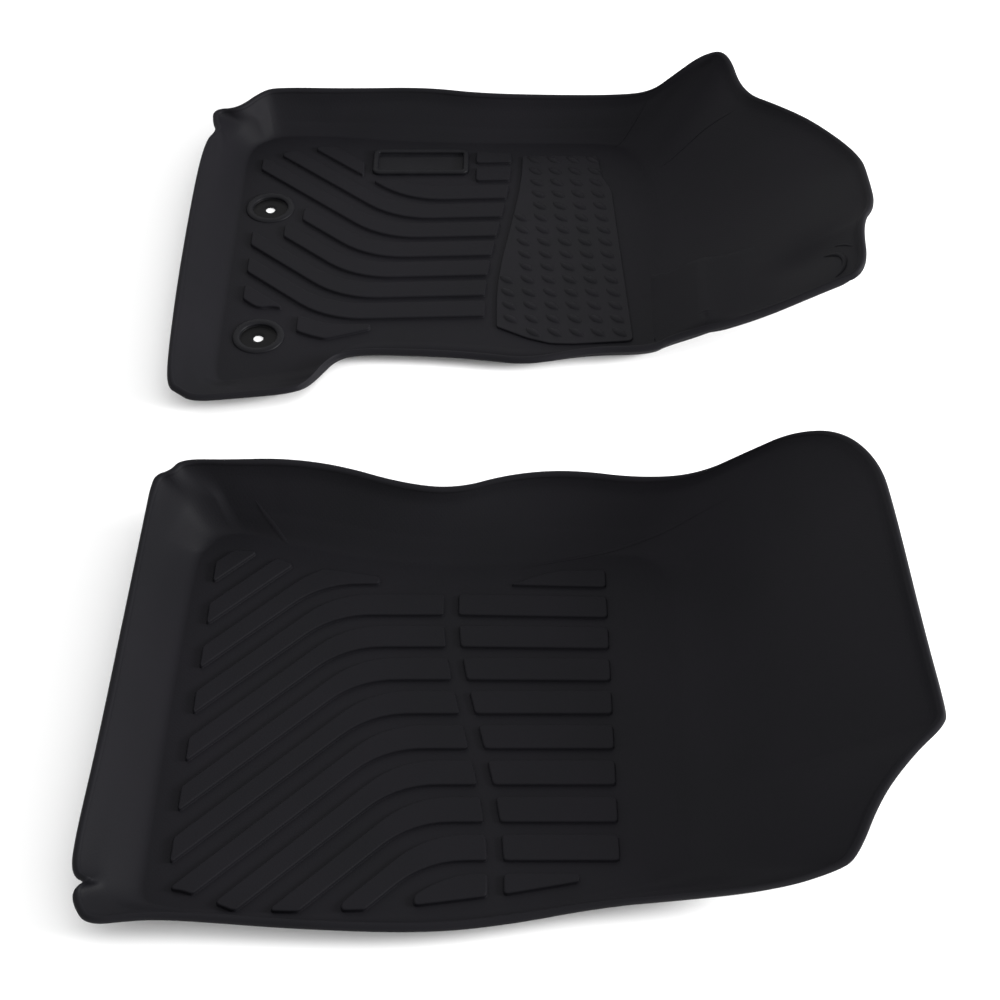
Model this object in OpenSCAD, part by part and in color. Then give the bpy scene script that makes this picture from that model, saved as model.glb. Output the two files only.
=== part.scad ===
// Front floor liner set for a left-hand-drive vehicle: two deep moulded trays.
// +X points to the front of the vehicle, +Y to its left (driver's) side, +Z up.
// The origin is on the ground, under the centre of the set's bounding box.

/* [Sheet] */
// Thickness of the moulded sheet
sheet_t = 4; // [3:0.5:5]
// Radius of the rolled bead that runs round the rim
bead_r = 4; // [3:0.5:5]
// Roundness where the floor turns up into a wall, as a share of the wall's run
turn_up = 0.25; // [0.1:0.05:0.5]

/* [Ribs] */
// Height of the ribs above the floor
rib_h = 3.5; // [2:0.5:5]
// Width of a rib across its straight part
rib_w = 27; // [20:1:30]
// Corner radius of a rib in plan
rib_corner = 2.5; // [1:0.5:5]
// Pitch of the passenger's ribs
passenger_pitch = 40.3; // [38:0.1:43]
// Pitch of the driver's ribs
driver_pitch = 36.4; // [34:0.1:39]

/* [Heel pad] */
// Thickness of the wear pad
pad_t = 2.5; // [1.5:0.5:4]
// Height of the lozenge studs above the pad
stud_h = 2.2; // [1:0.1:3]
// Length of a stud
stud_l = 20; // [14:1:22]
// Width of a stud
stud_w = 9; // [6:1:11]

/* [Eyelets] */
// Outer diameter of an eyelet's flange
eyelet_d = 58; // [54:1:62]
// Inner diameter of an eyelet's well
well_d = 41; // [38:1:42]
// Diameter of the hole for the vehicle's floor post
post_hole_d = 11; // [10:1:16]
// Height of the flange above the floor
flange_h = 2.2; // [1.5:0.1:4]
// Thickness of the well's bottom
well_floor = 1.8; // [1.2:0.1:2.5]

/* [Badge frame] */
// Length of the raised frame
frame_l = 117; // [100:1:125]
// Width of the raised frame
frame_w = 50; // [40:1:56]
// Width of the frame's border
frame_border = 7; // [4:0.5:9]
// Height of the border above the floor
frame_h = 4.5; // [3:0.5:6]

/* [Hidden] */

// Moves the drawing so that the origin is under the centre of the set
set_shift = [0, -2.5, 0];

black_tpe = "#212124";
black_plastic = "#1d1d20";

// Each station is [floor x, floor y, rim x, rim y, rim z]: where the floor ends and where its rim is.
driver_stations = [
    [-330, 522, -372, 534, 46], [-325, 538, -374, 557, 48], [-316, 548, -344, 556, 50],
    [-304, 556, -317, 593, 51], [-286, 562, -295, 598, 52], [-225, 561, -208, 597, 51],
    [-150, 550, -115, 598, 52], [-60, 546, -48, 588, 50], [20, 546, 49, 584, 50],
    [80, 546, 125, 581, 52], [108, 544, 164, 577, 60], [122, 540, 193, 583, 82],
    [132, 530, 225, 597, 100], [144, 512, 254, 600, 104], [152, 488, 265, 521, 96],
    [158, 458, 305, 480, 104], [162, 428, 341, 435, 112], [164, 398, 381, 350, 126],
    [162, 345, 383, 300, 131], [148, 292, 383, 246, 134], [146, 225, 365, 219, 134],
    [146, 195, 363, 141, 128], [146, 184, 329, 139, 112], [146, 178, 254, 137, 70],
    [146, 172, 166, 143, 36],
    [136, 166, 143, 132, 26], [76, 162, 76, 139, 20], [8, 158, 8, 121, 16],
    [-44, 166, -46, 132, 15], [-106, 172, -111, 138, 15], [-168, 172, -187, 139, 16],
    [-190, 166, -212, 125, 16], [-208, 142, -232, 81, 18], [-228, 128, -252, 72, 18],
    [-270, 118, -304, 63, 20], [-306, 110, -350, 54, 24], [-322, 106, -366, 64, 28],
    [-330, 112, -376, 70, 32], [-332, 150, -380, 119, 37], [-332, 320, -383, 294, 41],
    [-332, 480, -381, 484, 46], [-332, 505, -366, 517, 46]];

passenger_stations = [
    [-311, -142, -367, -108, 58], [-305, -131, -364, -96, 60], [-296, -126, -350, -92, 62],
    [-286, -124, -341, -76, 62], [-267, -126, -294, -80, 65], [-239, -138, -239, -80, 67],
    [-189, -152, -183, -86, 63], [-130, -164, -121, -103, 55], [-70, -170, -68, -107, 51],
    [-14, -168, -14, -90, 55], [40, -160, 45, -88, 59], [86, -154, 113, -102, 61],
    [116, -156, 171, -104, 68], [128, -166, 220, -100, 96], [136, -178, 261, -98, 120],
    [140, -194, 302, -121, 143], [141, -222, 329, -172, 152], [141, -262, 333, -240, 155],
    [141, -362, 338, -386, 155], [141, -422, 344, -465, 151], [141, -432, 343, -477, 147],
    [141, -457, 318, -493, 130],
    [141, -487, 290, -519, 104], [138, -517, 271, -555, 70], [128, -528, 256, -561, 60],
    [106, -536, 212, -565, 40], [80, -542, 142, -567, 28], [36, -552, 62, -571, 22],
    [-29, -562, -24, -588, 20], [-90, -567, -90, -595, 20], [-184, -568, -189, -591, 20],
    [-279, -564, -289, -584, 24], [-307, -561, -329, -587, 28], [-322, -556, -365, -595, 32],
    [-326, -550, -377, -578, 34], [-327, -542, -379, -566, 37], [-327, -534, -368, -559, 40],
    [-327, -524, -380, -555, 43], [-327, -507, -383, -528, 45], [-327, -402, -377, -414, 47],
    [-325, -262, -373, -264, 50], [-321, -152, -369, -134, 55]];

// Share of a wall's run at each row of the sheet, from the floor to just inside the bead
wall_rows = [0, 0.2, 0.45, 0.72, 0.95];
// Directions of the bead's corners, from the inner face round to the outer face
bead_angles = [110, 40, -40, -110];
// Passes of corner rounding along the rim, each of which doubles the stations
rim_passes = 2;

function round_off(p, passes) = passes == 0 ? p : round_off(
    [for (i = [0 : len(p) - 1]) let (a = p[i], b = p[(i + 1) % len(p)])
        each [0.75 * a + 0.25 * b, 0.25 * a + 0.75 * b]],
    passes - 1);

driver_rim = round_off(driver_stations, rim_passes);
passenger_rim = round_off(passenger_stations, rim_passes);

// Height of a wall at share t of its run, from 0 to 1, with a round start
full_rise = sqrt(1 + turn_up * turn_up) - turn_up;
function wall_height(t) = (sqrt(t * t + turn_up * turn_up) - turn_up) / full_rise;
function wall_slope(t) = t / sqrt(t * t + turn_up * turn_up) / full_rise;

// Smooth maximum of two heights, blended over about k
function blend_max(a, b, k) = (a + b + sqrt((a - b) * (a - b) + k * k)) / 2;

// Pedal platform on the driver's toe board: a shelf with a sloping rear face and a far side that falls away
platform_rear_x = 147;
platform_far_y = 255;
// Slant of the platform's far edge away from the rear
far_edge_slant = 0.22;
shelf_x = 205;
shelf_z = 47;
shelf_slope = 0.05;
rear_face_slope = 0.8;
far_face_slope = 1.6;
platform_blend = 6;
function platform_height(x, y) = min(shelf_z + shelf_slope * (x - shelf_x),
                                     sheet_t + rear_face_slope * (x - platform_rear_x),
                                     shelf_z + far_face_slope
                                         * (platform_far_y + far_edge_slant * (x - platform_rear_x) - y));
// Hollow where the toe board meets the wall on the tunnel side
hollow_at = [312, 213];
hollow_depth = 13;
hollow_size = [38, 32];
function hollow(x, y) = hollow_depth
    * exp(-pow((x - hollow_at[0]) / hollow_size[0], 2) - pow((y - hollow_at[1]) / hollow_size[1], 2));
function lifted(x, y, z) = (x > platform_rear_x
    ? max(z, blend_max(z, platform_height(x, y), platform_blend) - platform_blend / 4) : z) - hollow(x, y);

// Closed cross-section of the sheet at one station: upper face, bead, lower face
function section(s, with_platform) =
    let (run = norm([s[2] - s[0], s[3] - s[1]]),
         out = [s[2] - s[0], s[3] - s[1]] / run,
         lean = atan2((s[4] - sheet_t) * wall_slope(1), run),
         reach = run - bead_r * cos(lean) - sheet_t / 2 * sin(lean),
         rise = s[4] - sheet_t - bead_r * sin(lean) + sheet_t / 2 * cos(lean),
         upper = [for (t = wall_rows)
             let (x = s[0] + out[0] * reach * t,
                  y = s[1] + out[1] * reach * t,
                  z = sheet_t + rise * wall_height(t))
             [x, y, with_platform && t > 0 ? lifted(x, y, z) : z]],
         tilt = [for (t = wall_rows) atan2(rise * wall_slope(t), reach)],
         lower = [for (j = [len(wall_rows) - 1 : -1 : 0])
             upper[j] + sheet_t * [out[0] * sin(tilt[j]), out[1] * sin(tilt[j]), -cos(tilt[j])]],
         middle = [reach + sheet_t / 2 * sin(lean), sheet_t + rise - sheet_t / 2 * cos(lean)],
         bead = [for (a = bead_angles) let (r = middle[0] + bead_r * cos(lean + a))
             [s[0] + out[0] * r, s[1] + out[1] * r, middle[1] + bead_r * sin(lean + a)]])
    concat(upper, bead, lower);

module sheet(rim, with_platform) {
    sections = [for (s = rim) section(s, with_platform)];
    rows = len(sections[0]);
    count = len(rim);
    sides = [for (i = [0 : count - 1], j = [0 : rows - 2])
        let (a = i * rows + j, b = ((i + 1) % count) * rows + j)
        each [[a, a + 1, b + 1], [a, b + 1, b]]];
    floor_top = [for (i = [0 : count - 1]) i * rows];
    floor_bottom = [for (i = [count - 1 : -1 : 0]) i * rows + rows - 1];
    polyhedron([for (s = sections) each s], concat(sides, [floor_top, floor_bottom]), convexity = 6);
}

function ease(t) = let (c = max(0, min(1, t))) c * c * (3 - 2 * c);

/* Ribs: bands of constant width that run rearwards and then turn to one side */

// How far a rib has moved sideways at distance x from its corner: nothing on the straight part (x > 0),
// an arc of radius bend_r round the corner, then a straight slant
function bend_drop(x, bend_r, turn) =
    let (before = bend_r * tan(turn / 2), past = before * cos(turn))
    x >= before ? 0
    : x <= -past ? -x * tan(turn)
    : bend_r - sqrt(bend_r * bend_r - (before - x) * (before - x));

// A rib from its rows [near point, far point], where it is wide enough to mould, with rounded corners
module rib(rows) {
    kept = [for (r = rows) if (r[1][1] - r[0][1] > rib_corner) r];
    last = len(kept) - 1;
    if (last > 0)
        translate([0, 0, sheet_t / 2])
            linear_extrude(height = sheet_t / 2 + rib_h)
                offset(r = rib_corner, $fn = 12) offset(delta = -rib_corner)
                    polygon(concat([for (r = kept) r[0]], [for (i = [last : -1 : 0]) kept[i][1]]));
}

/* Passenger's ribs: a rear column that bends to the near side and a front column of straight ribs */

passenger_first_y = -194;
passenger_corner_x = -198;
passenger_corner_step = 13.7;
passenger_bend_r = 85;
passenger_turn = 45;
passenger_ribs_front_x = 79;
last_rib_front_x = 44;
column_gap = 14;
// Edge of the rib field on the far side and on the near side, as [x, y]
passenger_far_edge = [[-312, -146], [-264, -150], [-229, -166], [-189, -175], [-141, -184], [-90, -193],
                      [-44, -196], [-6, -192], [6, -185], [21, -180], [36, -176], [80, -175]];
passenger_near_edge = [[-312, -545], [-294, -547], [-249, -567], [-190, -568], [-130, -566], [-90, -561],
                       [-36, -553], [-21, -551], [39, -539], [80, -531]];

// Rear ends of the front column lie on a line that sweeps forward towards the near side
function column_split(y) = -64 + 43 * ease((-225 - y) / 300);
// Rear ends of the rear column follow the foot of the rear ramp
function ramp_foot(y) = -303 + 0.021 * (y + 175);
// How far below its straight part a rib's rear end lies, and how much less for each rib
rear_end_below = 80;
rear_end_step = 10;
// The first ribs dip a little towards the front, ahead of x = -60
dip = 0.03;
function front_dip(k, x) = dip * max(0, x + 60) * max(0, 1 - k / 4);

// Rows of one rib; rear and front are its ends as [x on the near edge, x on the far edge]
function passenger_rows(k, rear, front, n) =
    let (y = passenger_first_y - passenger_pitch * k, corner = passenger_corner_x + passenger_corner_step * k)
    [for (i = [0 : n])
        let (x = rear + (front - rear) * i / n,
             near = y - bend_drop(x[0] - corner, passenger_bend_r, passenger_turn) - front_dip(k, x[0]),
             far = y + rib_w - bend_drop(x[1] - corner, passenger_bend_r, passenger_turn)
                 - front_dip(k, x[1]))
        [[x[0], max(near, lookup(x[0], passenger_near_edge))],
         [x[1], min(far, lookup(x[1], passenger_far_edge))]]];

// Front ends of the three short ribs beside the far wall, from the rearmost
short_rib_fronts = [-262, -228, -141];
// Rear ends of the last four ribs, which run out at the near edge
last_rib_rears = [-264, -219, -158, -97];

module passenger_ribs() {
    for (k = [-2 : 9]) {
        y = passenger_first_y - passenger_pitch * k;
        rear_x = k > 5 ? last_rib_rears[k - 6] : ramp_foot(y - rear_end_below + rear_end_step * k);
        front = k < 1 ? [1, 1] * short_rib_fronts[k + 2]
            : [column_split(y) - column_gap, column_split(y + rib_w) - column_gap];
        rib(passenger_rows(k, [rear_x, rear_x], front, 24));
    }
    for (k = [0 : 9]) {
        y = passenger_first_y - passenger_pitch * k;
        front_x = k < 9 ? passenger_ribs_front_x : last_rib_front_x;
        steps = k % 9 == 0 ? 9 : 1;
        rib(passenger_rows(k, [column_split(y), column_split(y + rib_w)], [front_x, front_x], steps));
    }
}

/* Heel pad: its rear edge sweeps forward towards the door side, and its front edge is nearly straight */

pad_far_y = 518;
pad_sweep = 31;
function pad_rear_x(y) = 3 - pad_sweep * ease((pad_far_y - 5 - y) / 280);
pad_outline = concat(
    [for (y = [pad_far_y : -25 : 193]) [pad_rear_x(y), y]],
    [[-25, 193], [6, 175], [31, 166], [56, 165], [119, 170], [123, 174], [110, 447], [100, 475],
     [95, pad_far_y]]);

stud_pitch_x = 23.8;
stud_pitch_y = 23.2;
stud_rows = 15;
stud_first = [108, 184];
stud_turn = -42;
// Least distance from a stud's centre to the pad's rear edge
stud_edge = 7.5;
// How far the columns of studs drift rearwards towards the door side
stud_drift = 0.058;

// A lozenge with round sides: where two circles overlap
module lozenge(l, w) {
    r = (l * l + w * w) / (4 * w);
    intersection() {
        translate([0, r - w / 2]) circle(r = r, $fn = 48);
        translate([0, w / 2 - r]) circle(r = r, $fn = 48);
    }
}

module heel_pad() {
    color(black_tpe) translate(set_shift) {
        translate([0, 0, sheet_t]) linear_extrude(height = pad_t) polygon(pad_outline);
        for (row = [0 : stud_rows - 1], column = [0 : 5]) {
            y = stud_first[1] + stud_pitch_y * row;
            x = stud_first[0] - stud_drift * (y - stud_first[1]) - stud_pitch_x * column;
            if (x > pad_rear_x(y) + stud_edge && (row > 0 || column < 5))
                translate([0, 0, sheet_t + pad_t]) linear_extrude(height = stud_h)
                    intersection() {
                        translate([x, y]) rotate([0, 0, stud_turn]) lozenge(stud_l, stud_w);
                        polygon(pad_outline);
                    }
        }
    }
}

/* Driver's ribs: one column that bends to the far side round the eyelets and the badge frame */

driver_first_y = 431;
driver_corner_x = -134;
driver_corner_step = -14;
driver_bend_r = 110;
driver_turn = 43;
// Fall of the straight parts towards the rear
driver_fall = 0.035;
driver_fall_from_x = -20;
// Gap between the ribs and the heel pad
pad_gap = 13;
// Clear width left round an eyelet
eyelet_clearance = 13;
outboard_eyelet_at = [-297, 415];
inboard_eyelet_at = [-291.5, 180];
badge_at = [-120.5, 505.5];
no_limit = 1000;
// Edge of the rib field on the far side, as [x, y]
driver_far_edge = [[-314, 510], [-286, 524], [-249, 537], [-150, 537], [-53, 526], [-10, 523]];

// Edge at x of the clear circle round an eyelet, on its near side (side = -1) or its far side (side = 1)
function clear_edge(x, at, side) =
    let (r = eyelet_d / 2 + eyelet_clearance, dx = x - at[0])
    abs(dx) > r ? -side * no_limit : at[1] + side * sqrt(r * r - dx * dx);

// Share of its width that a tapered rib keeps at its tip
tip_share = 0.3;
// Rows of one rib between rear and front, kept between near_limit and far_limit and clear of both eyelets;
// over the last length of taper its near edge rises towards its far edge
function driver_rows(k, rear, front, n, near_limit = -no_limit, far_limit = no_limit, taper = 0) =
    let (y = driver_first_y - driver_pitch * k, corner = driver_corner_x + driver_corner_step * k)
    [for (i = [0 : n])
        let (x = rear + (front - rear) * i / n,
             near = y - driver_fall * (driver_fall_from_x - x[0])
                 + bend_drop(x[0] - corner, driver_bend_r, driver_turn),
             far = y + rib_w - driver_fall * (driver_fall_from_x - x[1])
                 + bend_drop(x[1] - corner, driver_bend_r, driver_turn))
        let (from = max(near, near_limit, k > 6 ? clear_edge(x[0], inboard_eyelet_at, 1) : near),
             to = min(far, far_limit, lookup(x[1], driver_far_edge),
                      k > 2 ? clear_edge(x[1], outboard_eyelet_at, -1) : far),
             share = taper == 0 ? 1 : min(1, (front[0] - x[0]) / taper))
        [[x[0], to - (to - from) * (tip_share + (1 - tip_share) * share)], [x[1], to]]];

// Rear ends of the six full ribs, from the one beside the badge frame to the one beside the inboard eyelet
driver_rear_ends = [-297, -314, -257, -277, -314, -314];
tapered_rib_rear_x = -184;
frame_bars_rear_x = -53;
frame_near_y = badge_at[1] - frame_w / 2;

module driver_ribs() {
    for (k = [-2 : 6]) {
        y = driver_first_y - driver_pitch * k;
        front = [pad_rear_x(y) - pad_gap, pad_rear_x(y + rib_w) - pad_gap];
        if (k > 0)
            rib(driver_rows(k, [1, 1] * driver_rear_ends[k - 1], front, 24));
        else if (k == 0)
            rib(driver_rows(k, [1, 1] * tapered_rib_rear_x, front, 14, far_limit = frame_near_y - pad_gap));
        else
            rib(driver_rows(k, [1, 1] * frame_bars_rear_x, front, 1));
    }
    // The slanted ends of the ribs that the badge frame and the inboard eyelet interrupt
    rib(driver_rows(0, [-249, -249], [-189, -189], 8));
    rib(driver_rows(7, [-314, -314], [-269, -269], 8, taper = 30));
    rib(driver_rows(7, [-250, -250], [-168, -168], 10, near_limit = 173, taper = 50));
}

/* Eyelets: a round flange on the floor, a well through the sheet and a ring that clamps it from below */

well_wall = 1.5;
ring_w = 3;
ring_t = 1.5;
fit_gap = 0.15;
hole_gap = 0.4;

module eyelet() {
    tube_r = well_d / 2 + well_wall;
    top = sheet_t + flange_h;
    rotate_extrude($fn = 96)
        polygon([[post_hole_d / 2, 0], [tube_r, 0], [tube_r, sheet_t], [eyelet_d / 2, sheet_t],
                 [eyelet_d / 2, sheet_t + flange_h / 2], [eyelet_d / 2 - 2, top], [well_d / 2 + 1.5, top],
                 [well_d / 2, top - 1], [well_d / 2, well_floor], [post_hole_d / 2, well_floor]]);
}

module backing_ring() {
    inner_r = well_d / 2 + well_wall + fit_gap;
    difference() {
        cylinder(h = ring_t, r = inner_r + ring_w, $fn = 96);
        translate([0, 0, -1]) cylinder(h = ring_t + 2, r = inner_r, $fn = 96);
    }
}

// Stepped hole in the sheet for an eyelet and its ring
module eyelet_hole() {
    tube_r = well_d / 2 + well_wall;
    translate([0, 0, -1]) cylinder(h = sheet_t + 2, r = tube_r + hole_gap, $fn = 48);
    translate([0, 0, -1]) cylinder(h = ring_t + 1, r = tube_r + fit_gap + ring_w + hole_gap, $fn = 48);
}

/* Badge frame: a raised border round a blank panel, set into a pocket of the sheet */

badge_seat_z = 2;
badge_panel_t = 1.5;
badge_corner_r = 9;

module rounded_rectangle(l, w, r) {
    square([l - 2 * r, w], center = true);
    square([l, w - 2 * r], center = true);
    for (x = [-1, 1] * (l / 2 - r), y = [-1, 1] * (w / 2 - r)) translate([x, y]) circle(r = r, $fn = 48);
}

module badge_frame() {
    color(black_plastic) translate(set_shift) translate(badge_at) translate([0, 0, badge_seat_z]) {
        linear_extrude(height = badge_panel_t) rounded_rectangle(frame_l, frame_w, badge_corner_r);
        linear_extrude(height = sheet_t - badge_seat_z + frame_h)
            difference() {
                rounded_rectangle(frame_l, frame_w, badge_corner_r);
                rounded_rectangle(frame_l - 2 * frame_border, frame_w - 2 * frame_border, badge_corner_r / 2);
            }
    }
}

module badge_pocket() {
    translate(badge_at) translate([0, 0, badge_seat_z])
        linear_extrude(height = sheet_t)
            rounded_rectangle(frame_l + 2 * fit_gap, frame_w + 2 * fit_gap, badge_corner_r + fit_gap);
}

/* The eight pieces */

module driver_mat() {
    color(black_tpe) translate(set_shift) difference() {
        union() {
            sheet(driver_rim, true);
            driver_ribs();
        }
        for (at = [outboard_eyelet_at, inboard_eyelet_at]) translate(at) eyelet_hole();
        badge_pocket();
    }
}

module passenger_mat() {
    color(black_tpe) translate(set_shift) {
        sheet(passenger_rim, false);
        passenger_ribs();
    }
}

module outboard_eyelet() {
    color(black_plastic) translate(set_shift) translate(outboard_eyelet_at) eyelet();
}

module inboard_eyelet() {
    color(black_plastic) translate(set_shift) translate(inboard_eyelet_at) eyelet();
}

module outboard_backing_ring() {
    color(black_plastic) translate(set_shift) translate(outboard_eyelet_at) backing_ring();
}

module inboard_backing_ring() {
    color(black_plastic) translate(set_shift) translate(inboard_eyelet_at) backing_ring();
}

driver_mat();
passenger_mat();
heel_pad();
badge_frame();
outboard_eyelet();
inboard_eyelet();
outboard_backing_ring();
inboard_backing_ring();
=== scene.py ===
"""Front floor liner set for a left-hand-drive vehicle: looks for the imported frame."""

import math

import bmesh
import bpy
import numpy as np
from mathutils import Matrix, Vector
from mathutils.bvhtree import BVHTree


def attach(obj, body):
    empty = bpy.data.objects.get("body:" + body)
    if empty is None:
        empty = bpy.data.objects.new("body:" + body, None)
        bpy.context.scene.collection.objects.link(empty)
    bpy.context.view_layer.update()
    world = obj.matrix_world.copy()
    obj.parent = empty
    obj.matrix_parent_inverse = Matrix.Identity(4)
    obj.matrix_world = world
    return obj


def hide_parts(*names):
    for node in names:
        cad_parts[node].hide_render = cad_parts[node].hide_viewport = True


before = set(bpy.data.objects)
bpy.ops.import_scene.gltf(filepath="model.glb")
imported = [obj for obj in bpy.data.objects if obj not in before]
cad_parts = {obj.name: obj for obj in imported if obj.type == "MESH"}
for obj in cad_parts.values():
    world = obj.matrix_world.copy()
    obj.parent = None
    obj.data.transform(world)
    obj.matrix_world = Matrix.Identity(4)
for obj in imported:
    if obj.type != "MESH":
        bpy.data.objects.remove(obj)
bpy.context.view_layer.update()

# All shaping below is in millimetres, in the drawing's own position; into_frame() moves it to the frame.
MM = 0.001
SET_SHIFT = Vector((0.0, -2.5, 0.0))

SHEET_T = 4.0
BEAD_R = 4.0
TURN_UP = 0.25
RIB_H = 3.5
RIB_W = 27.0
RIB_CORNER = 2.5
RIM_PASSES = 4

# Each station is floor x, floor y, rim x, rim y, rim z: where the floor ends and where its rim is.
DRIVER_STATIONS = [
    [-330, 522, -372, 534, 46], [-325, 538, -374, 557, 48], [-316, 548, -344, 556, 50],
    [-304, 556, -317, 593, 51], [-286, 562, -295, 598, 52], [-225, 561, -208, 597, 51],
    [-150, 550, -115, 598, 52], [-60, 546, -48, 588, 50], [20, 546, 49, 584, 50],
    [80, 546, 125, 581, 52], [108, 544, 164, 577, 60], [122, 540, 193, 583, 82],
    [132, 530, 225, 597, 100], [144, 512, 254, 600, 104], [152, 488, 265, 521, 96],
    [158, 458, 305, 480, 104], [162, 428, 341, 435, 112], [164, 398, 381, 350, 126],
    [162, 345, 383, 300, 131], [148, 292, 383, 246, 134], [146, 225, 365, 219, 134],
    [146, 195, 363, 141, 128], [146, 184, 329, 139, 112], [146, 178, 254, 137, 70],
    [146, 172, 166, 143, 36],
    [136, 166, 143, 132, 26], [76, 162, 76, 139, 20], [8, 158, 8, 121, 16],
    [-44, 166, -46, 132, 15], [-106, 172, -111, 138, 15], [-168, 172, -187, 139, 16],
    [-190, 166, -212, 125, 16], [-208, 142, -232, 81, 18], [-228, 128, -252, 72, 18],
    [-270, 118, -304, 63, 20], [-306, 110, -350, 54, 24], [-322, 106, -366, 64, 28],
    [-330, 112, -376, 70, 32], [-332, 150, -380, 119, 37], [-332, 320, -383, 294, 41],
    [-332, 480, -381, 484, 46], [-332, 505, -366, 517, 46]]
PASSENGER_STATIONS = [
    [-311, -142, -367, -108, 58], [-305, -131, -364, -96, 60], [-296, -126, -350, -92, 62],
    [-286, -124, -341, -76, 62], [-267, -126, -294, -80, 65], [-239, -138, -239, -80, 67],
    [-189, -152, -183, -86, 63], [-130, -164, -121, -103, 55], [-70, -170, -68, -107, 51],
    [-14, -168, -14, -90, 55], [40, -160, 45, -88, 59], [86, -154, 113, -102, 61],
    [116, -156, 171, -104, 68], [128, -166, 220, -100, 96], [136, -178, 261, -98, 120],
    [140, -194, 302, -121, 143], [141, -222, 329, -172, 152], [141, -262, 333, -240, 155],
    [141, -362, 338, -386, 155], [141, -422, 344, -465, 151], [141, -432, 343, -477, 147],
    [141, -457, 318, -493, 130],
    [141, -487, 290, -519, 104], [138, -517, 271, -555, 70], [128, -528, 256, -561, 60],
    [106, -536, 212, -565, 40], [80, -542, 142, -567, 28], [36, -552, 62, -571, 22],
    [-29, -562, -24, -588, 20], [-90, -567, -90, -595, 20], [-184, -568, -189, -591, 20],
    [-279, -564, -289, -584, 24], [-307, -561, -329, -587, 28], [-322, -556, -365, -595, 32],
    [-326, -550, -377, -578, 34], [-327, -542, -379, -566, 37], [-327, -534, -368, -559, 40],
    [-327, -524, -380, -555, 43], [-327, -507, -383, -528, 45], [-327, -402, -377, -414, 47],
    [-325, -262, -373, -264, 50], [-321, -152, -369, -134, 55]]


# ---------------------------------------------------------------- solids

def into_frame(piece):
    """Splits many-sided faces and moves a finished piece from drawing millimetres to frame metres."""
    work = bmesh.new()
    work.from_mesh(piece.data)
    bmesh.ops.triangulate(work, faces=[face for face in work.faces if len(face.verts) > 4])
    work.to_mesh(piece.data)
    work.free()
    piece.data.transform(Matrix.Scale(MM, 4) @ Matrix.Translation(SET_SHIFT))


def solid(name, rings, closed=False):
    """A closed mesh through rings of equal length; its ends are capped, or joined when closed."""
    count = len(rings[0])
    mesh = bpy.data.meshes.new(name)
    faces = []
    last = len(rings) if closed else len(rings) - 1
    for j in range(last):
        a, b = j * count, (j + 1) % len(rings) * count
        for i in range(count):
            k = (i + 1) % count
            faces.append((a + i, a + k, b + k, b + i))
    if not closed:
        faces.append(tuple(range(count - 1, -1, -1)))
        faces.append(tuple(range(last * count, last * count + count)))
    mesh.from_pydata([tuple(p) for p in np.concatenate(rings)], [], faces)
    work = bmesh.new()
    work.from_mesh(mesh)
    bmesh.ops.recalc_face_normals(work, faces=work.faces)
    bmesh.ops.triangulate(work, faces=[face for face in work.faces if len(face.verts) > 4])
    work.to_mesh(mesh)
    work.free()
    piece = bpy.data.objects.new(name, mesh)
    bpy.context.scene.collection.objects.link(piece)
    return piece


def merged(pieces):
    """Several separate solids as one mesh, so that they can be welded on in one go."""
    work = bmesh.new()
    for piece in pieces:
        work.from_mesh(piece.data)
        bpy.data.objects.remove(piece)
    mesh = bpy.data.meshes.new("merged")
    work.to_mesh(mesh)
    work.free()
    piece = bpy.data.objects.new("merged", mesh)
    bpy.context.scene.collection.objects.link(piece)
    return piece


def combine(piece, tool, operation):
    """Welds tool onto piece ('UNION') or cuts it away ('DIFFERENCE')."""
    step = piece.modifiers.new("combine", "BOOLEAN")
    step.object, step.operation, step.solver = tool, operation, "MANIFOLD"
    bpy.context.view_layer.update()
    shown = piece.evaluated_get(bpy.context.evaluated_depsgraph_get())
    mesh = bpy.data.meshes.new_from_object(shown)
    piece.modifiers.remove(step)
    piece.data = mesh
    bpy.data.objects.remove(tool)


def smoothed(piece, crease_degrees=35):
    """Smooth shading that stays crisp at real edges; level faces, such as rib tops, are shaded flat."""
    work = bmesh.new()
    work.from_mesh(piece.data)
    limit = math.radians(crease_degrees)
    for face in work.faces:
        face.smooth = abs(face.normal.z) < 0.99999
    for edge in work.edges:
        edge.smooth = len(edge.link_faces) == 2 and edge.calc_face_angle(0) < limit
    work.to_mesh(piece.data)
    work.free()


# ---------------------------------------------------------------- outlines

def round_off(points, passes):
    """Corner cutting of a closed outline; each pass doubles its points."""
    points = np.asarray(points, dtype=float)
    for _ in range(passes):
        after = np.roll(points, -1, axis=0)
        pair = [0.75 * points + 0.25 * after, 0.25 * points + 0.75 * after]
        points = np.stack(pair, axis=1).reshape(-1, points.shape[1])
    return points


def even(points, spacing):
    """A closed outline as points at an even spacing."""
    closed = np.vstack([points, points[:1]])
    along = np.concatenate([[0], np.cumsum(np.hypot(*np.diff(closed, axis=0).T))])
    count = max(12, int(along[-1] / spacing))
    s = np.arange(count) * along[-1] / count
    return np.stack([np.interp(s, along, closed[:, 0]), np.interp(s, along, closed[:, 1])], axis=1)


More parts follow.
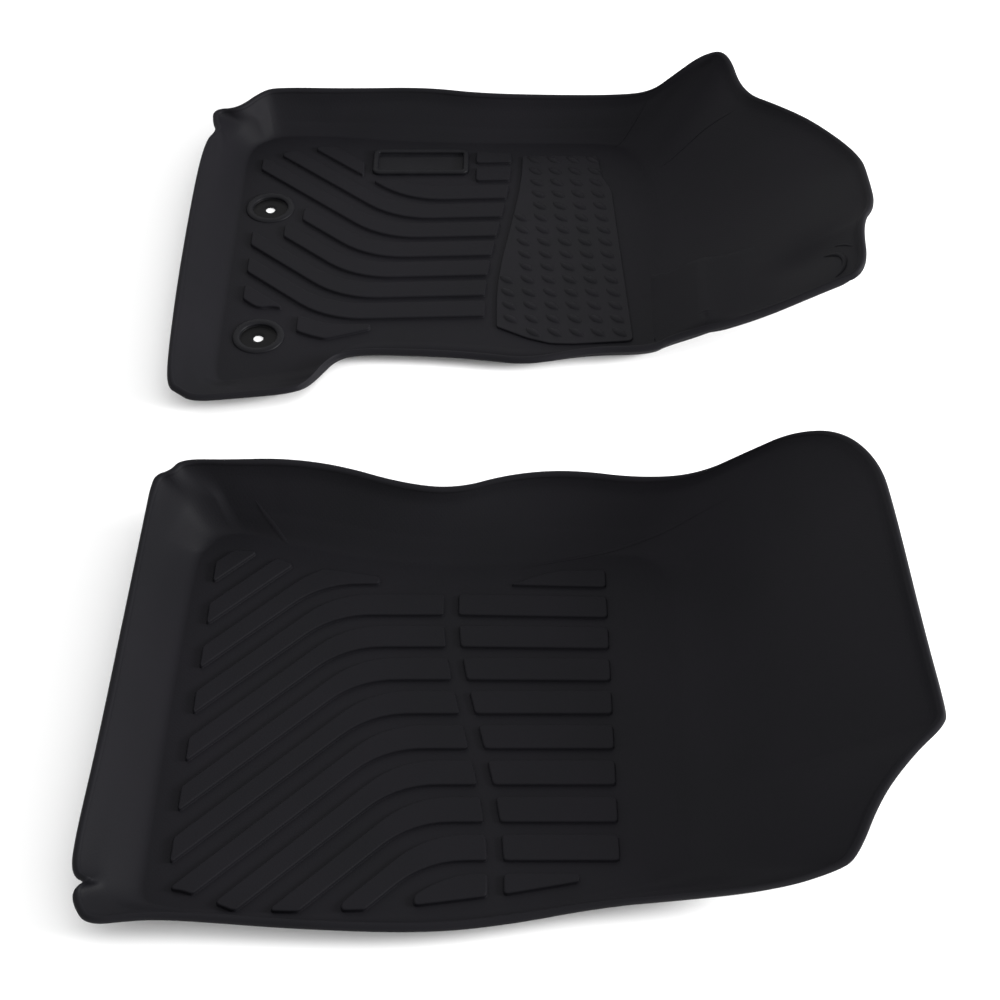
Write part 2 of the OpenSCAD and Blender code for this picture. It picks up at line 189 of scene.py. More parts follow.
def soft_outline(corners, softness, longest=12.0, turn_step=7.0):
    """A closed outline with worn-round corners, dense only where it bends: points, outward normals, room."""
    spacing, passes = 0.4, 8
    spread = softness / math.sqrt(passes) / spacing
    reach = int(3 * spread) + 1
    weight = np.exp(-0.5 * (np.arange(-reach, reach + 1) / spread) ** 2)
    weight /= weight.sum()
    dense = even(np.asarray(corners, dtype=float), spacing)
    for _ in range(passes):
        dense = sum(w * np.roll(dense, k, axis=0) for w, k in zip(weight, range(-reach, reach + 1)))
        dense = even(dense, spacing)
    count = len(dense)
    tangent = np.roll(dense, -1, axis=0) - np.roll(dense, 1, axis=0)
    heading = np.unwrap(np.arctan2(tangent[:, 1], tangent[:, 0]))
    side = 1 if heading[-1] > heading[0] else -1
    bend = np.diff(heading, append=heading[0] + side * 2 * math.pi) * side
    # How far an edge may be drawn in before it would cross itself at a tight corner.
    radius = spacing / np.maximum(bend, spacing / 50)
    room = np.min([np.roll(radius, k) for k in range(-6, 7)], axis=0) * 0.7
    kept, turned, gone = [0], 0.0, 0.0
    for i in range(1, count):
        turned += abs(bend[i - 1])
        gone += spacing
        if turned > math.radians(turn_step) or gone > longest:
            kept.append(i)
            turned, gone = 0.0, 0.0
    normal = np.stack([tangent[:, 1], -tangent[:, 0]], axis=1) / np.hypot(*tangent.T)[:, None] * side
    return dense[kept], normal[kept], room[kept]


def level(points, z):
    """An outline at height z."""
    return np.column_stack([points, np.full(len(points), float(z))])


def raised(name, outline, profile):
    """A solid over an outline; profile lists (outset, height) from the bottom up."""
    points, normal, room = outline
    rings = []
    for out, z in profile:
        rings.append(level(points + normal * np.maximum(out, -room)[:, None], z))
    return solid(name, rings)


def turned(name, centre, profile, steps=128):
    """A lathe-turned ring from a closed profile of (radius, height)."""
    angle = np.arange(steps) * 2 * math.pi / steps
    circle = np.stack([np.cos(angle), np.sin(angle)], axis=1)
    return solid(name, [level(circle * r + centre, z) for r, z in profile], closed=True)


def arc(centre, radius, start, end, steps):
    """Points (x, y) of an arc in degrees; radius is one number or (rx, ry)."""
    rx, ry = (radius, radius) if np.isscalar(radius) else radius
    angle = np.radians(np.linspace(start, end, steps))
    return [(centre[0] + rx * math.cos(a), centre[1] + ry * math.sin(a)) for a in angle]


# ---------------------------------------------------------------- moulded sheet

FULL_RISE = math.sqrt(1 + TURN_UP ** 2) - TURN_UP


def wall_height(t):
    """Height of a wall at share t of its run, from 0 to 1, with a round start."""
    return (np.sqrt(t * t + TURN_UP ** 2) - TURN_UP) / FULL_RISE


def wall_slope(t):
    return t / np.sqrt(t * t + TURN_UP ** 2) / FULL_RISE


PLATFORM_REAR_X = 147
PLATFORM_FAR_Y = 255
PLATFORM_BLEND = 6
FAR_EDGE_SLANT = 0.22
SHELF_Z = 47
SHELF_FRONT_X = 205
SHELF_SLOPE = 0.05
REAR_FACE_SLOPE = 0.8
FAR_FACE_SLOPE = 1.6
HOLLOW_AT = (312, 213)
HOLLOW_SIZE = (38, 32)
HOLLOW_DEPTH = 13


def platform_lift(x, y, z):
    """The pedal platform: a shelf on the toe board with a sloping rear face."""
    ahead = x - PLATFORM_REAR_X
    shelf = np.minimum(SHELF_Z + SHELF_SLOPE * (x - SHELF_FRONT_X), SHEET_T + REAR_FACE_SLOPE * ahead)
    shelf = np.minimum(shelf, SHELF_Z + FAR_FACE_SLOPE * (PLATFORM_FAR_Y + FAR_EDGE_SLANT * ahead - y))
    blend = (z + shelf + np.sqrt((z - shelf) ** 2 + PLATFORM_BLEND ** 2)) / 2 - PLATFORM_BLEND / 4
    # The hollow where the toe board meets the wall on the tunnel side
    hollow = HOLLOW_DEPTH * np.exp(-((x - HOLLOW_AT[0]) / HOLLOW_SIZE[0]) ** 2
                                   - ((y - HOLLOW_AT[1]) / HOLLOW_SIZE[1]) ** 2)
    return np.where(ahead > 0, np.maximum(z, blend), z) - hollow


def moulded_sheet(name, stations, surface):
    """The tray: floor, walls and rolled rim. surface(x, y, z) adds what stands on the walls."""
    s = round_off(stations, RIM_PASSES)
    # At the rear the rim's small notches mark only the top of the wall.
    weight = np.exp(-0.5 * (np.arange(-60, 61) / 22) ** 2)
    even_rim = sum(w * np.roll(s[:, 2:5], k, axis=0) for w, k in zip(weight / weight.sum(), range(-60, 61)))
    notch = (s[:, 2:5] - even_rim) * np.clip((-315 - s[:, 2:3]) / 25, 0, 1)
    floor, rim, rim_z = s[:, 0:2], s[:, 2:4] - notch[:, 0:2], s[:, 4] - notch[:, 2]
    lip = LIP * np.clip((rim[:, 0] + 330) / 80, 0, 1)
    run = np.hypot(*(rim - floor).T)
    out = (rim - floor) / run[:, None]
    lean = np.arctan2((rim_z - SHEET_T) * wall_slope(1.0), run)
    reach = run - BEAD_R * np.cos(lean) - SHEET_T / 2 * np.sin(lean)
    rise = rim_z - SHEET_T - BEAD_R * np.sin(lean) + SHEET_T / 2 * np.cos(lean)

    def across(r, z):
        return np.column_stack([floor + out * np.reshape(r, (-1, 1)), z])

    upper = []
    tilts = []
    for t in wall_rows(reach):
        p = across(reach * t, SHEET_T + rise * wall_height(t))
        if t[0] > 0:
            p[:, 2] = surface(p[:, 0], p[:, 1], p[:, 2]) - lip * lip_share(reach * (1 - t), t)
        top = np.clip((t[:, None] - 0.6) / 0.4, 0, 1)
        upper.append(p + notch * top * top * (3 - 2 * top))
        tilts.append(np.arctan2(rise * wall_slope(t), reach))
    middle_r = reach + SHEET_T / 2 * np.sin(lean)
    middle_z = SHEET_T + rise - SHEET_T / 2 * np.cos(lean)
    bead = [across(middle_r + BEAD_R * np.cos(lean + a), middle_z + BEAD_R * np.sin(lean + a)) + notch
            for a in np.radians(np.linspace(122, -122, 13))]
    below = [*range(len(upper) - 1, 0, -2), 0]
    lower = [upper[j] - SHEET_T * np.column_stack([-out * np.sin(tilts[j])[:, None], np.cos(tilts[j])])
             for j in below]
    return solid(name, upper + bead + lower)


def wall_rows(reach):
    """Shares of each wall's run at the rows of the sheet: closer at the foot and under the rim's lip."""
    shares = [np.full(len(reach), t) for t in (0, 0.02, 0.045)]
    last = 1 - np.minimum(16 / reach, 0.4)
    shares += [0.08 + (last - 0.08) * k for k in np.linspace(0, 1, 26)]
    return shares + [1 - (1 - last) * k for k in (0.84, 0.7, 0.57, 0.46, 0.36, 0.27, 0.19, 0.12, 0.06)]


# Depth of the step that stands the rim's bead up as a lip above the wall
LIP = 5.5


def lip_share(inside, t):
    """How fully the lip's step shows at a distance inside the bead; it fades out down the wall."""
    return (1 - np.exp(-(inside / 4.5) ** 2)) * np.exp(-(inside / 38) ** 2) * np.clip(t / 0.45, 0, 1) ** 2


# ---------------------------------------------------------------- ribs

def ease(t):
    t = max(0.0, min(1.0, t))
    return t * t * (3 - 2 * t)


def bend_drop(x, bend_r, turn):
    """Sideways move of a rib at x ahead of its corner: straight, then an arc, then a slant."""
    turn = math.radians(turn)
    before = bend_r * math.tan(turn / 2)
    if x >= before:
        return 0.0
    if x <= -before * math.cos(turn):
        return -x * math.tan(turn)
    return bend_r - math.sqrt(bend_r ** 2 - (before - x) ** 2)


def lookup(x, table):
    return float(np.interp(x, [p[0] for p in table], [p[1] for p in table]))


def rib(rows):
    """One rib, or nothing where it is too narrow; its foot flares and its top edge is rounded."""
    kept = [r for r in rows if r[1][1] - r[0][1] > RIB_CORNER]
    if len(kept) < 2:
        return []
    corners = [r[0] for r in kept] + [r[1] for r in kept[::-1]]
    top = SHEET_T + RIB_H
    edge = [(-1.5 + r, z) for r, z in arc((0.0, top - 1.5), 1.5, 0, 90, 5)]
    profile = [(0.6, SHEET_T - 1.5), (0.6, SHEET_T), (0.25, SHEET_T + 0.5)] + edge
    return [raised("rib", soft_outline(corners, 2.2), profile)]


PASSENGER_PITCH = 40.3
PASSENGER_FIRST_Y = -194
PASSENGER_FAR_EDGE = [
    [-312, -146], [-264, -150], [-229, -166], [-189, -175], [-141, -184], [-90, -193],
    [-44, -196], [-6, -192], [6, -185], [21, -180], [36, -176], [80, -175]]
PASSENGER_NEAR_EDGE = [
    [-312, -545], [-294, -547], [-249, -567], [-190, -568], [-130, -566], [-90, -561],
    [-36, -553], [-21, -551], [39, -539], [80, -531]]
SHORT_RIB_FRONTS = [-262, -228, -141]
LAST_RIB_REARS = [-264, -219, -158, -97]
PASSENGER_BEND_R = 85
PASSENGER_TURN = 45
PASSENGER_DIP = 0.03
COLUMN_GAP = 14


def column_split(y):
    return -64 + 43 * ease((-225 - y) / 300)


def passenger_rows(k, rear, front):
    y = PASSENGER_FIRST_Y - PASSENGER_PITCH * k
    corner = -198 + 13.7 * k
    rows = []
    for share in np.linspace(0, 1, 121):
        x = [rear[e] + (front[e] - rear[e]) * share for e in (0, 1)]
        edge = [y + (0, RIB_W)[e] - bend_drop(x[e] - corner, PASSENGER_BEND_R, PASSENGER_TURN)
                - PASSENGER_DIP * max(0, x[e] + 60) * max(0, 1 - k / 4) for e in (0, 1)]
        rows.append([(x[0], max(edge[0], lookup(x[0], PASSENGER_NEAR_EDGE))),
                     (x[1], min(edge[1], lookup(x[1], PASSENGER_FAR_EDGE)))])
    return rows


def passenger_ribs():
    ribs = []
    for k in range(-2, 10):
        y = PASSENGER_FIRST_Y - PASSENGER_PITCH * k
        rear = LAST_RIB_REARS[k - 6] if k > 5 else -303 + 0.021 * (y - 80 + 10 * k + 175)
        if k < 1:
            front = [SHORT_RIB_FRONTS[k + 2]] * 2
        else:
            front = [column_split(y) - COLUMN_GAP, column_split(y + RIB_W) - COLUMN_GAP]
        ribs += rib(passenger_rows(k, [rear, rear], front))
    for k in range(10):
        y = PASSENGER_FIRST_Y - PASSENGER_PITCH * k
        front = 79 if k < 9 else 44
        ribs += rib(passenger_rows(k, [column_split(y), column_split(y + RIB_W)], [front, front]))
    return ribs


DRIVER_PITCH = 36.4
DRIVER_FIRST_Y = 431
DRIVER_FAR_EDGE = [[-314, 510], [-286, 524], [-249, 537], [-150, 537], [-53, 526], [-10, 523]]
DRIVER_BEND_R = 110
DRIVER_TURN = 43
DRIVER_SLANT = 0.035
DRIVER_REAR_ENDS = [-297, -314, -257, -277, -314, -314]
EYELET_D = 58
EYELET_CLEARANCE = 13
OUTBOARD_EYELET_AT = (-297, 415)
INBOARD_EYELET_AT = (-291.5, 180)
BADGE_AT = (-120.5, 505.5)
FRAME_L, FRAME_W, FRAME_BORDER, FRAME_H = 117, 50, 7, 4.5
PAD_GAP = 13
PAD_FAR_Y = 518
TIP_SHARE = 0.3


def pad_rear_x(y):
    return 3 - 31 * ease((PAD_FAR_Y - 5 - y) / 280)


def clear_edge(x, at, side):
    """Edge at x of the clear circle round an eyelet, on its near (-1) or far (1) side."""
    r, dx = EYELET_D / 2 + EYELET_CLEARANCE, x - at[0]
    return -side * 1000 if abs(dx) > r else at[1] + side * math.sqrt(r * r - dx * dx)


def driver_rows(k, rear, front, near_limit=-1000, far_limit=1000, taper=0):
    y = DRIVER_FIRST_Y - DRIVER_PITCH * k
    corner = -134 - 14 * k
    rows = []
    for share in np.linspace(0, 1, 121):
        x = [rear[e] + (front[e] - rear[e]) * share for e in (0, 1)]
        edge = [y + (0, RIB_W)[e] - DRIVER_SLANT * (-20 - x[e])
                + bend_drop(x[e] - corner, DRIVER_BEND_R, DRIVER_TURN) for e in (0, 1)]
        near = max(edge[0], near_limit)
        far = min(edge[1], far_limit, lookup(x[1], DRIVER_FAR_EDGE))
        if k > 6:
            near = max(near, clear_edge(x[0], INBOARD_EYELET_AT, 1))
        if k > 2:
            far = min(far, clear_edge(x[1], OUTBOARD_EYELET_AT, -1))
        width = 1 if taper == 0 else TIP_SHARE + (1 - TIP_SHARE) * min(1, (front[0] - x[0]) / taper)
        rows.append([(x[0], far - (far - near) * width), (x[1], far)])
    return rows


def driver_ribs():
    ribs = []
    for k in range(-2, 7):
        y = DRIVER_FIRST_Y - DRIVER_PITCH * k
        front = [pad_rear_x(y) - PAD_GAP, pad_rear_x(y + RIB_W) - PAD_GAP]
        if k > 0:
            ribs += rib(driver_rows(k, [DRIVER_REAR_ENDS[k - 1]] * 2, front))
        elif k == 0:
            limit = BADGE_AT[1] - FRAME_W / 2 - PAD_GAP
            ribs += rib(driver_rows(k, [-184, -184], front, far_limit=limit))
        else:
            ribs += rib(driver_rows(k, [-53, -53], front))
    ribs += rib(driver_rows(0, [-249, -249], [-189, -189]))
    ribs += rib(driver_rows(7, [-314, -314], [-269, -269], taper=30))
    ribs += rib(driver_rows(7, [-250, -250], [-168, -168], near_limit=173, taper=50))
    return ribs


# ---------------------------------------------------------------- pieces

WELL_D = 41
WELL_WALL = 1.5
RING_W = 3
RING_T = 1.5
FIT_GAP = 0.15
HOLE_GAP = 0.4
FLANGE_H = 2.2
WELL_FLOOR = 1.8
POST_HOLE_R = 5.5
PAD_T = 2.5
STUD_H = 2.2
BADGE_SEAT_Z = 2
RELIEF_EDGE_DEPTH = 0.4
RELIEF_BASE_DEPTH = 1.5


def plug(centre, radius, low, high):
    angle = np.arange(96) * 2 * math.pi / 96
    circle = np.stack([np.cos(angle), np.sin(angle)], axis=1) * radius + centre
    return solid("plug", [level(circle, low), level(circle, high)])


def rounded_rectangle(l, w, r):
    corners = []
    for sx, sy, start in ((1, 1, 0), (-1, 1, 90), (-1, -1, 180), (1, -1, 270)):
        centre = (BADGE_AT[0] + sx * (l / 2 - r), BADGE_AT[1] + sy * (w / 2 - r))
        corners += arc(centre, r, start, start + 90, 9)
    return np.array(corners)


def relief_line(piece, path, radius, proud):
    """A thin rounded ridge that follows the sheet over a path (x, y); it tapers to nothing at both ends."""
    corners = [v.co for v in piece.data.vertices]
    tree = BVHTree.FromPolygons(corners, [p.vertices for p in piece.data.polygons])
    path = np.array(path, dtype=float)
    for _ in range(3):
        inner = np.stack([0.75 * path[:-1] + 0.25 * path[1:], 0.25 * path[:-1] + 0.75 * path[1:]], axis=1)
        path = np.vstack([path[:1], inner.reshape(-1, 2), path[-1:]])
    along = np.concatenate([[0], np.cumsum(np.hypot(*np.diff(path, axis=0).T))])
    # The section is a shallow round cap; its edges and flat base are sunk into the sheet and stay inside it.
    half = math.sqrt(radius ** 2 - (radius - proud + RELIEF_EDGE_DEPTH) ** 2)
    section = []
    for t in np.linspace(1, -1, 9):
        section.append((t * half, math.sqrt(radius ** 2 - (t * half) ** 2) - radius + proud))
    section += [(-half, -RELIEF_BASE_DEPTH), (0, -RELIEF_BASE_DEPTH), (half, -RELIEF_BASE_DEPTH)]
    rings = []
    for k in range(len(path)):
        hit, normal = tree.ray_cast(Vector((*path[k], 400)), Vector((0, 0, -1)))[:2]
        step = path[min(k + 1, len(path) - 1)] - path[max(k - 1, 0)]
        ahead = Vector((*step, 0)).normalized()
        across = normal.cross(ahead).normalized()
        share = math.sqrt(max(0.03, math.sin(math.pi * along[k] / along[-1])))
        rings.append([hit + (across * wide + normal * high) * share for wide, high in section])
    return solid("relief", [np.array(ring) for ring in rings])


def driver_liner():
    piece = moulded_sheet("driver_liner", DRIVER_STATIONS, platform_lift)
    lines = [relief_line(piece, path, radius, proud) for path, radius, proud in (
        # Edge of the foot rest, and the soft fold across it
        ([(158, 574), (143, 562), (129, 549), (113, 537)], 3.0, 0.7),
        ([(258, 509), (226, 511), (199, 502), (170, 489)], 9.0, 0.7),
        # Moulded arc and short bar by the tunnel
        ([(327, 207), (336, 200), (343, 188), (344, 173), (340, 162), (332, 157)], 3.6, 2.4),
        ([(338, 214), (347, 206), (354, 193)], 2.2, 1.0))]
    combine(piece, merged(lines), "UNION")
    combine(piece, merged(driver_ribs()), "UNION")
    tube_r = WELL_D / 2 + WELL_WALL
    for at in (OUTBOARD_EYELET_AT, INBOARD_EYELET_AT):
        combine(piece, plug(at, tube_r + HOLE_GAP, -1, SHEET_T + 1), "DIFFERENCE")
        combine(piece, plug(at, tube_r + FIT_GAP + RING_W + HOLE_GAP, -1, RING_T), "DIFFERENCE")
    seat = rounded_rectangle(FRAME_L + 2 * FIT_GAP, FRAME_W + 2 * FIT_GAP, 9)
    combine(piece, solid("seat", [level(seat, BADGE_SEAT_Z), level(seat, SHEET_T + 2)]), "DIFFERENCE")
    return piece


def passenger_liner():
    piece = moulded_sheet("passenger_liner", PASSENGER_STATIONS, lambda x, y, z: z)
    lines = [relief_line(piece, path, radius, proud) for path, radius, proud in (
        # Fold of the far wall beside the seat rail, and the long faint fold ahead of the ribs
        ([(-268, -103), (-253, -117), (-245, -125), (-234, -138)], 10.0, 0.8),
        ([(-4, -171), (35, -161), (72, -152), (114, -142), (145, -136), (172, -131), (200, -128)], 6.0, 0.6))]
    combine(piece, merged(lines), "UNION")
    combine(piece, merged(passenger_ribs()), "UNION")
    return piece


def lozenge(length, width):
    """A lozenge with round sides: where two circles overlap."""
    r = (length ** 2 + width ** 2) / (4 * width)
    half = math.degrees(math.asin(length / 2 / r))
    top = arc((0, width / 2 - r), r, 90 - half, 90 + half, 24)
    bottom = arc((0, r - width / 2), r, 270 - half, 270 + half, 24)
    return soft_outline(top + bottom, 0.8, longest=3, turn_step=14)


def heel_studs():
    points = lozenge(20, 9)[0]
    turn = math.radians(-42)
    spin = np.array([[math.cos(turn), math.sin(turn)], [-math.sin(turn), math.cos(turn)]])
    points = points @ spin
    studs = []
    z = SHEET_T + PAD_T
    dome = [(1.1, -0.8), (1.1, 0), (1.02, 0.55), (0.9, 1.05), (0.74, 1.5), (0.55, 1.85), (0.34, 2.1),
            (0.12, STUD_H)]
    for row in range(15):
        for column in range(6):
            y = 184 + 23.2 * row
            x = 108 - 0.058 * (y - 184) - 23.8 * column
            if x > pad_rear_x(y) + 7.5 and (row > 0 or column < 5):
                studs.append(solid("stud", [level(points * k + (x, y), z + up) for k, up in dome]))
    return studs


def heel_pad():
    outline = [(pad_rear_x(y), y) for y in range(PAD_FAR_Y, 192, -5)]
    outline += [(-25, 193), (6, 175), (31, 166), (56, 165), (119, 170), (123, 174), (110, 447),
                (100, 475), (95, PAD_FAR_Y)]
    top = SHEET_T + PAD_T
    edge = [(r - 1.0, z) for r, z in arc((0.0, top - 1.0), 1.0, 0, 90, 4)]
    piece = raised("heel_wear_pad", soft_outline(outline, 2.5), [(0, SHEET_T), (0, SHEET_T + 0.8)] + edge)
    combine(piece, merged(heel_studs()), "UNION")
    return piece


def floor_eyelet(name, at):
    tube_r = WELL_D / 2 + WELL_WALL
    outer = EYELET_D / 2
    inner = WELL_D / 2
    crown = arc(((outer + inner) / 2, SHEET_T), ((outer - inner) / 2, FLANGE_H), 0, 180, 17)
    profile = [(POST_HOLE_R, 0.3), (POST_HOLE_R + 0.3, 0), (tube_r - 0.3, 0), (tube_r, 0.3),
               (tube_r, SHEET_T)]
    profile += crown
    profile += [(inner, SHEET_T - 0.4), (inner, WELL_FLOOR + 0.8), (inner - 0.3, WELL_FLOOR + 0.25),
                (inner - 0.9, WELL_FLOOR), (POST_HOLE_R + 3.2, WELL_FLOOR), (POST_HOLE_R, WELL_FLOOR - 1.0)]
    return turned(name, at, profile)


def backing_ring(name, at):
    inner = WELL_D / 2 + WELL_WALL + FIT_GAP
    outer = inner + RING_W
    profile = [(inner, 0.3), (inner + 0.3, 0), (outer - 0.3, 0), (outer, 0.3), (outer, RING_T - 0.3),
               (outer - 0.3, RING_T), (inner + 0.3, RING_T), (inner, RING_T - 0.3)]
    return turned(name, at, profile, steps=96)


def badge_frame():
    """A raised border with rounded edges round a blank, slightly recessed panel."""
    points, normal = soft_outline(rounded_rectangle(FRAME_L, FRAME_W, 9), 0.8, turn_step=9)[:2]
    top = SHEET_T + FRAME_H
    profile = [(-0.4, BADGE_SEAT_Z), (0, BADGE_SEAT_Z + 0.4), (0, SHEET_T)]
    profile += [(r - 2.6, z) for r, z in arc((0.0, top - 2.6), 2.6, 0, 90, 7)]
    profile += [(r - FRAME_BORDER + 2.0, z) for r, z in arc((0.0, top - 2.0), 2.0, 90, 180, 6)]
    profile += [(-FRAME_BORDER - 0.2, BADGE_SEAT_Z + 1.9), (-FRAME_BORDER - 0.7, BADGE_SEAT_Z + 1.5)]
    rings = [level(points + normal * out, z) for out, z in profile]
    return solid("badge_surround", rings)


# ---------------------------------------------------------------- materials

def linear(hex_colour):
    """sRGB hex to the linear colour that the shader wants."""
    values = [int(hex_colour[i:i + 2], 16) / 255 for i in (1, 3, 5)]
    return [v / 12.92 if v <= 0.04045 else ((v + 0.055) / 1.055) ** 2.4 for v in values] + [1.0]


def node(tree, kind, settings=(), links=()):
    """Adds a node with its settings (name or input: value) and links (input: output socket)."""
    made = tree.nodes.new(kind)
    for key, value in dict(settings).items():
        if isinstance(key, str) and hasattr(made, key):
            setattr(made, key, value)
        else:
            made.inputs[key].default_value = value
    for key, socket in dict(links).items():
        tree.links.new(socket, made.inputs[key])
    return made


def surface(name, roughness, specular):
    """A new node material: its tree, shader and millimetre coordinates."""
    material = bpy.data.materials.new(name)
    material.use_nodes = True
    tree = material.node_tree
    tree.nodes.clear()
    shader = node(tree, "ShaderNodeBsdfPrincipled",
                  {"IOR": 1.5, "Specular IOR Level": specular, "Roughness": roughness})
    node(tree, "ShaderNodeOutputMaterial", {}, {"Surface": shader.outputs[0]})
    where = node(tree, "ShaderNodeTexCoord")
    in_mm = node(tree, "ShaderNodeMapping", {"Scale": (1000, 1000, 1000)},
                 {"Vector": where.outputs["Object"]})
    return material, tree, shader, in_mm.outputs[0]


def tone(tree, factor, dark, light):
    """A colour between two sRGB hex values."""
    ramp = node(tree, "ShaderNodeValToRGB", {}, {"Fac": factor})
    ramp.color_ramp.elements[0].color = linear(dark)
    ramp.color_ramp.elements[0].position = 0.3
    ramp.color_ramp.elements[1].color = linear(light)
    ramp.color_ramp.elements[1].position = 0.7
    return ramp.outputs["Color"]


def moulded_tpe():
    """Injection-moulded thermoplastic elastomer: a fine spark-eroded grain that leaves it matte."""
    material, tree, shader, mm = surface("moulded_tpe", 0.62, 0.08)
    # The real grain is about 0.5 mm; it is drawn at 1.6 mm, the finest that shows.
    grain = node(tree, "ShaderNodeTexNoise", {"Scale": 1 / 1.6, "Detail": 3.0, "Roughness": 0.6},
                 {"Vector": mm})
    # Slow drift of gloss and shade from the way the melt fills the mould, about 120 mm across.
    flow = node(tree, "ShaderNodeTexNoise", {"Scale": 1 / 120, "Detail": 2.0}, {"Vector": mm})
    shade = node(tree, "ShaderNodeMath", {"operation": "MULTIPLY_ADD", 1: 0.35},
                 {0: grain.outputs["Fac"], 2: flow.outputs["Fac"]})
    half = node(tree, "ShaderNodeMath", {"operation": "MULTIPLY", 1: 0.74}, {0: shade.outputs[0]})
    colour = tone(tree, half.outputs[0], "#111114", "#151418")
    tree.links.new(colour, shader.inputs["Base Color"])
    gloss = node(tree, "ShaderNodeMapRange", {"To Min": 0.56, "To Max": 0.68}, {"Value": flow.outputs["Fac"]})
    tree.links.new(gloss.outputs[0], shader.inputs["Roughness"])
    # Crossed tool lines at 45 degrees, 3 mm apart, faint under the grain.
    turned_mm = node(tree, "ShaderNodeMapping", {"Rotation": (0, 0, math.radians(45))}, {"Vector": mm})
    lines = []
    for direction in ("X", "Y"):
        lines.append(node(tree, "ShaderNodeTexWave", {"bands_direction": direction, "Scale": 0.31 / 3},
                          {"Vector": turned_mm.outputs[0]}).outputs["Fac"])
    crossed = node(tree, "ShaderNodeMath", {"operation": "MULTIPLY"}, {0: lines[0], 1: lines[1]})
    height = node(tree, "ShaderNodeMath", {"operation": "MULTIPLY_ADD", 1: 0.25},
                  {0: crossed.outputs[0], 2: grain.outputs["Fac"]})
    bump = node(tree, "ShaderNodeBump", {"Strength": 0.35, "Distance": 0.0004}, {"Height": height.outputs[0]})
    tree.links.new(bump.outputs[0], shader.inputs["Normal"])
    return material


def wear_pad_tpe():
    """The harder TPE of the heel pad: the same mould grain, a little smoother, scuffed to a sheen."""
    material, tree, shader, mm = surface("wear_pad_tpe", 0.55, 0.09)
    grain = node(tree, "ShaderNodeTexNoise", {"Scale": 1 / 1.8, "Detail": 2.0}, {"Vector": mm})
    scuff = node(tree, "ShaderNodeTexNoise", {"Scale": 1 / 45, "Detail": 4.0, "Distortion": 0.6},
                 {"Vector": mm})
    colour = tone(tree, scuff.outputs["Fac"], "#111114", "#151418")
    tree.links.new(colour, shader.inputs["Base Color"])
    gloss = node(tree, "ShaderNodeMapRange", {"To Min": 0.5, "To Max": 0.62}, {"Value": scuff.outputs["Fac"]})
    tree.links.new(gloss.outputs[0], shader.inputs["Roughness"])
    bump = node(tree, "ShaderNodeBump", {"Strength": 0.3, "Distance": 0.0004},
                {"Height": grain.outputs["Fac"]})
    tree.links.new(bump.outputs[0], shader.inputs["Normal"])
    return material


def moulded_nylon():
    """Injection-moulded black nylon: a satin skin with a very fine grain, tighter than the TPE."""
    material, tree, shader, mm = surface("moulded_nylon", 0.5, 0.1)
    grain = node(tree, "ShaderNodeTexNoise", {"Scale": 1 / 1.2, "Detail": 2.0}, {"Vector": mm})
    rub = node(tree, "ShaderNodeTexNoise", {"Scale": 1 / 18, "Detail": 3.0}, {"Vector": mm})
    colour = tone(tree, rub.outputs["Fac"], "#0f0f12", "#131316")
    # Painted shade: towards the bottoms of the wells, below 3.4 mm, the colour darkens to a quarter, in place
    # of the shade that falls in them.
    height = node(tree, "ShaderNodeSeparateXYZ", {}, {"Vector": mm})
    well_shade_mask = node(tree, "ShaderNodeMapRange", {"From Min": 2.0, "From Max": 3.4},
                  {"Value": height.outputs["Z"]})
    share = node(tree, "ShaderNodeMath", {"operation": "MULTIPLY_ADD", 1: 0.75, 2: 0.25},
                 {0: well_shade_mask.outputs[0]})
    shaded = node(tree, "ShaderNodeVectorMath", {"operation": "SCALE"},
                  {0: colour, "Scale": share.outputs[0]})
    tree.links.new(shaded.outputs[0], shader.inputs["Base Color"])
    gloss = node(tree, "ShaderNodeMapRange", {"To Min": 0.42, "To Max": 0.54}, {"Value": rub.outputs["Fac"]})
    tree.links.new(gloss.outputs[0], shader.inputs["Roughness"])
    bump = node(tree, "ShaderNodeBump", {"Strength": 0.2, "Distance": 0.0002},
                {"Height": grain.outputs["Fac"]})
    tree.links.new(bump.outputs[0], shader.inputs["Normal"])
    return material


def studio_floor_paint():
    """Plain matt white paint, as clean as it comes."""
    material, _, shader, _ = surface("studio_white", 0.9, 0.0)
    shader.inputs["Base Color"].default_value = linear("#ffffff")
    return material


# ---------------------------------------------------------------- assembly

def finish_piece(piece, material, body, replaced):
    smoothed(piece)
    into_frame(piece)
    piece.data.materials.clear()
    piece.data.materials.append(material)
    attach(piece, body)
    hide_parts(replaced)


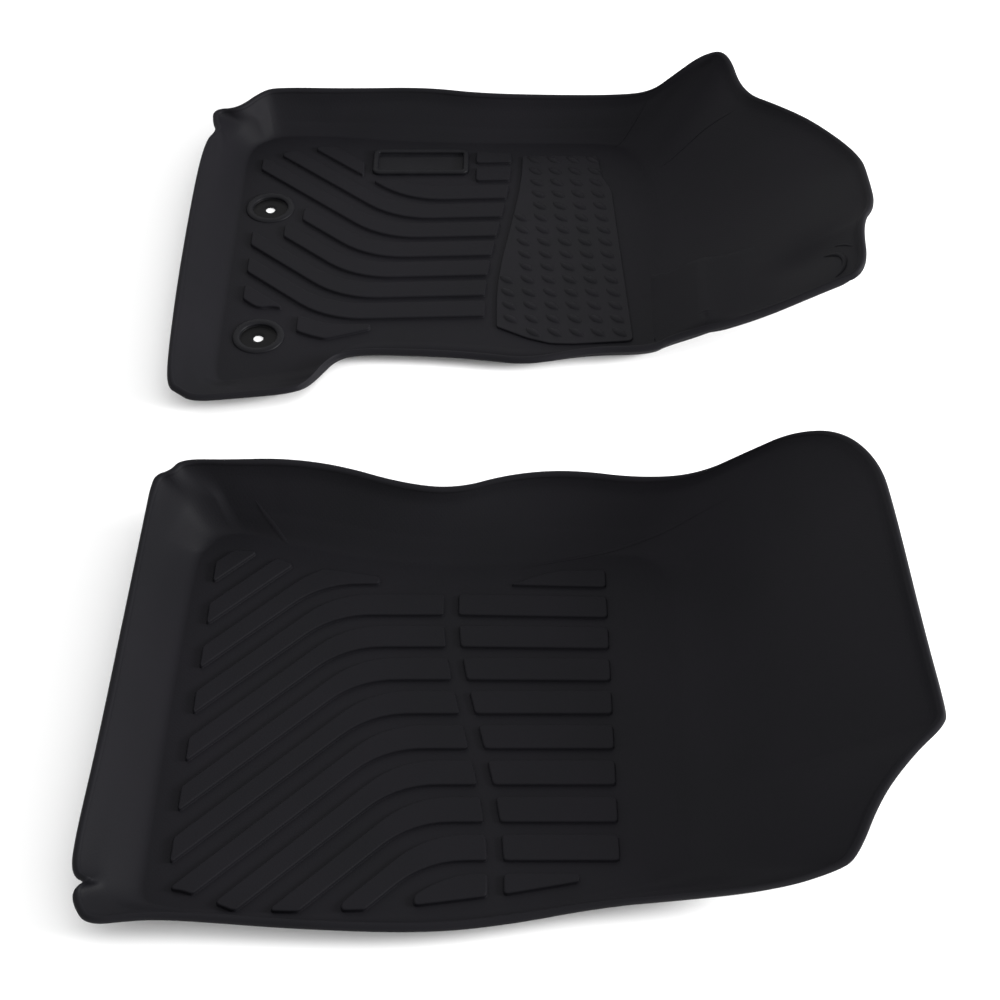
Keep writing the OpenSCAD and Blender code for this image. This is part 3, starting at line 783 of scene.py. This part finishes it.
def build():
    tpe, pad_tpe, nylon = moulded_tpe(), wear_pad_tpe(), moulded_nylon()
    finish_piece(driver_liner(), tpe, "driver_side", "driver_mat")
    finish_piece(passenger_liner(), tpe, "passenger_side", "passenger_mat")
    finish_piece(heel_pad(), pad_tpe, "driver_side", "heel_pad")
    finish_piece(badge_frame(), nylon, "driver_side", "badge_frame")
    for side, at in (("outboard", OUTBOARD_EYELET_AT), ("inboard", INBOARD_EYELET_AT)):
        finish_piece(floor_eyelet(side + "_floor_eyelet", at), nylon, "driver_side",
                     side + "_eyelet")
        finish_piece(backing_ring(side + "_clamp_ring", at), nylon, "driver_side",
                     side + "_backing_ring")


def studio():
    """A white floor, an even sky and one broad soft light from the front of the vehicle."""
    mesh = bpy.data.meshes.new("studio_floor")
    half = 9.0
    corners = [(-half, -half, 0), (half, -half, 0), (half, half, 0), (-half, half, 0)]
    mesh.from_pydata(corners, [], [(0, 1, 2, 3)])
    mesh.materials.append(studio_floor_paint())
    floor = bpy.data.objects.new("studio_floor", mesh)
    floor.location.z = -0.0005
    bpy.context.scene.collection.objects.link(floor)

    world = bpy.data.worlds.new("studio_sky")
    world.use_nodes = True
    world.node_tree.nodes["Background"].inputs["Color"].default_value = (1, 1, 1, 1)
    world.node_tree.nodes["Background"].inputs["Strength"].default_value = 1.1
    bpy.context.scene.world = world

    light = bpy.data.lights.new("softbox", "AREA")
    light.shape, light.size, light.energy = "DISK", 1.2, 170
    lamp = bpy.data.objects.new("softbox", light)
    lamp.location = (2.8, -0.3, 0.9)
    lamp.rotation_mode = "QUATERNION"
    lamp.rotation_quaternion = (-lamp.location).to_track_quat("-Z", "Y")
    bpy.context.scene.collection.objects.link(lamp)


def camera():
    lens = bpy.data.cameras.new("camera")
    lens.lens, lens.sensor_width = 72, 36
    eye = bpy.data.objects.new("camera", lens)
    eye.location = (-0.024, -1.5145, 1.44)
    eye.rotation_euler = (math.radians(45), 0, 0)
    bpy.context.scene.collection.objects.link(eye)
    bpy.context.scene.camera = eye


build()
studio()
camera()
bpy.context.scene.view_settings.view_transform = "Standard"
bpy.context.scene.view_settings.look = "None"
